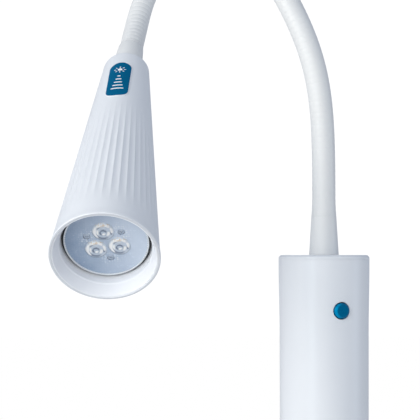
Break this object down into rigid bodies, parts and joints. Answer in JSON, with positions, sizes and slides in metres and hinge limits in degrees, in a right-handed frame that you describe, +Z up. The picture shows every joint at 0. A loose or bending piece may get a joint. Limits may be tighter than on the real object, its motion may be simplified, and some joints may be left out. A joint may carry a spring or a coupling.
{
  "type": "surgical examination light",
  "caption": "LED examination light: a fluted conical head on a ribbed gooseneck, over a cylindrical base with a push button that swivels in a screw clamp for a table edge.",
  "frame": {"origin": "centre of the upper jaw's rubber face, where the clamp sits on the table top", "axes": "+Z up along the base and the clamp screw, +X towards the clamp's spine, -Y the side the lamp head points to"},
  "size_m": [0.2142, 0.2351, 0.5618],
  "materials": {
    "white_shell": "satin moulded plastic, cool white",
    "neck_sheath": "satin flexible sheath, slightly warmer white",
    "blue_trim": "semi-gloss petrol blue",
    "frosted_lens": "clear polycarbonate with a finely dimpled face",
    "clear_optic": "polished clear acrylic",
    "emitter": "phosphor-coated LED",
    "white_board": "white solder mask",
    "green_board": "green solder mask",
    "plated_steel": "zinc plated, fine turning marks",
    "heat_sink": "cast, satin",
    "clamp_coat": "fine-textured light grey powder coat",
    "black_plastic": "fine texture",
    "rubber": "matt"
  },
  "bodies": {
    "clamp": {"clamp_frame": "clamp_coat", "friction_bush": "black_plastic", "jaw_pad": "rubber"},
    "base": {"base_housing": "white_shell", "top_cap": "white_shell", "foot_collar": "white_shell", "neck_locknut": "plated_steel", "button_seal": "rubber", "tact_switch": "black_plastic", "control_board": "green_board", "dc_jack": "black_plastic", "base_lead": "black_plastic", "bottom_cap": "white_shell", "cap_screw_1": "plated_steel", "cap_screw_2": "plated_steel", "cap_screw_3": "plated_steel", "spigot": "plated_steel", "spigot_cross_pin": "plated_steel", "neck_core_1": "plated_steel", "neck_sheath_1": "neck_sheath"},
    "button": {"power_button": "blue_trim"},
    "link_1": {"neck_core_2": "plated_steel", "neck_sheath_2": "neck_sheath"},
    "link_2": {"neck_core_3": "plated_steel", "neck_sheath_3": "neck_sheath"},
    "link_3": {"neck_core_4": "plated_steel", "neck_sheath_4": "neck_sheath"},
    "link_4": {"neck_core_5": "plated_steel", "neck_sheath_5": "neck_sheath"},
    "link_5": {"neck_core_6": "plated_steel", "neck_sheath_6": "neck_sheath"},
    "link_6": {"neck_core_7": "plated_steel", "neck_sheath_7": "neck_sheath"},
    "link_7": {"neck_core_8": "plated_steel", "neck_sheath_8": "neck_sheath"},
    "head": {"neck_core_9": "plated_steel", "neck_sheath_9": "neck_sheath", "ferrule": "neck_sheath", "ferrule_nut": "plated_steel", "head_shell": "white_shell", "badge": "blue_trim", "bezel_ring": "white_shell", "lens_cover": "frosted_lens", "lens_seal": "rubber", "optic_1": "clear_optic", "optic_2": "clear_optic", "optic_3": "clear_optic", "led_1": "emitter", "led_2": "emitter", "led_3": "emitter", "led_board": "white_board", "heat_sink": "heat_sink", "long_screw_1": "plated_steel", "long_screw_2": "plated_steel", "long_screw_3": "plated_steel", "head_lead": "black_plastic"},
    "plate": {"pressure_plate": "plated_steel", "plate_pad": "rubber"},
    "screw": {"clamp_screw": "plated_steel", "clamp_knob": "black_plastic"}
  },
  "joints": [
    {"name": "base_swivel", "type": "hinge", "parent": "clamp", "child": "base", "pos_m": [0, 0, 0.03], "axis": [0, 0, 1], "range_deg": [-170, 170]},
    {"name": "neck_hinge_1", "type": "hinge", "parent": "base", "child": "link_1", "pos_m": [-0.00001, 0, 0.24411], "axis": [0.3011, 0.9536, 0.0006], "range_deg": [-25, 25]},
    {"name": "neck_hinge_2", "type": "hinge", "parent": "link_1", "child": "link_2", "pos_m": [-0.00124, 0.00004, 0.28832], "axis": [-0.9511, 0.3003, -0.0726], "range_deg": [-25, 25]},
    {"name": "neck_hinge_3", "type": "hinge", "parent": "link_2", "child": "link_3", "pos_m": [-0.00906, 0.00171, 0.3317], "axis": [0.3036, 0.9528, -0.008], "range_deg": [-25, 25]},
    {"name": "neck_hinge_4", "type": "hinge", "parent": "link_3", "child": "link_4", "pos_m": [-0.02581, 0.01045, 0.37156], "axis": [-0.8156, 0.2576, -0.5181], "range_deg": [-25, 25]},
    {"name": "neck_hinge_5", "type": "hinge", "parent": "link_4", "child": "link_5", "pos_m": [-0.04961, 0.0272, 0.40446], "axis": [0.4986, 0.8515, -0.1621], "range_deg": [-25, 25]},
    {"name": "neck_hinge_6", "type": "hinge", "parent": "link_5", "child": "link_6", "pos_m": [-0.08464, 0.04999, 0.41354], "axis": [0.2356, -0.0744, -0.969], "range_deg": [-25, 25]},
    {"name": "neck_hinge_7", "type": "hinge", "parent": "link_6", "child": "link_7", "pos_m": [-0.11649, 0.05507, 0.38621], "axis": [0.1441, 0.9352, -0.3234], "range_deg": [-25, 25]},
    {"name": "neck_hinge_8", "type": "hinge", "parent": "link_7", "child": "head", "pos_m": [-0.12742, 0.03351, 0.34999], "axis": [0.947, -0.299, 0.1175], "range_deg": [-25, 25]},
    {"name": "button_press", "type": "slide", "parent": "base", "child": "button", "axis": [-0.3024, 0.9532, 0], "range_m": [0, 0.0012], "stiffness_N_per_m": 500, "springref_m": -0.0004},
    {"name": "plate_slide", "type": "slide", "parent": "clamp", "child": "plate", "axis": [0, 0, 1], "range_m": [0, 0.042]},
    {"name": "screw_turn", "type": "hinge", "parent": "plate", "child": "screw", "pos_m": [0, 0, -0.06], "axis": [0, 0, 1], "range_deg": [0, 10081]}
  ],
  "couplings": [
    {"joint": "screw_turn", "follows": "plate_slide", "rad_per_m": 4188.8}
  ]
}
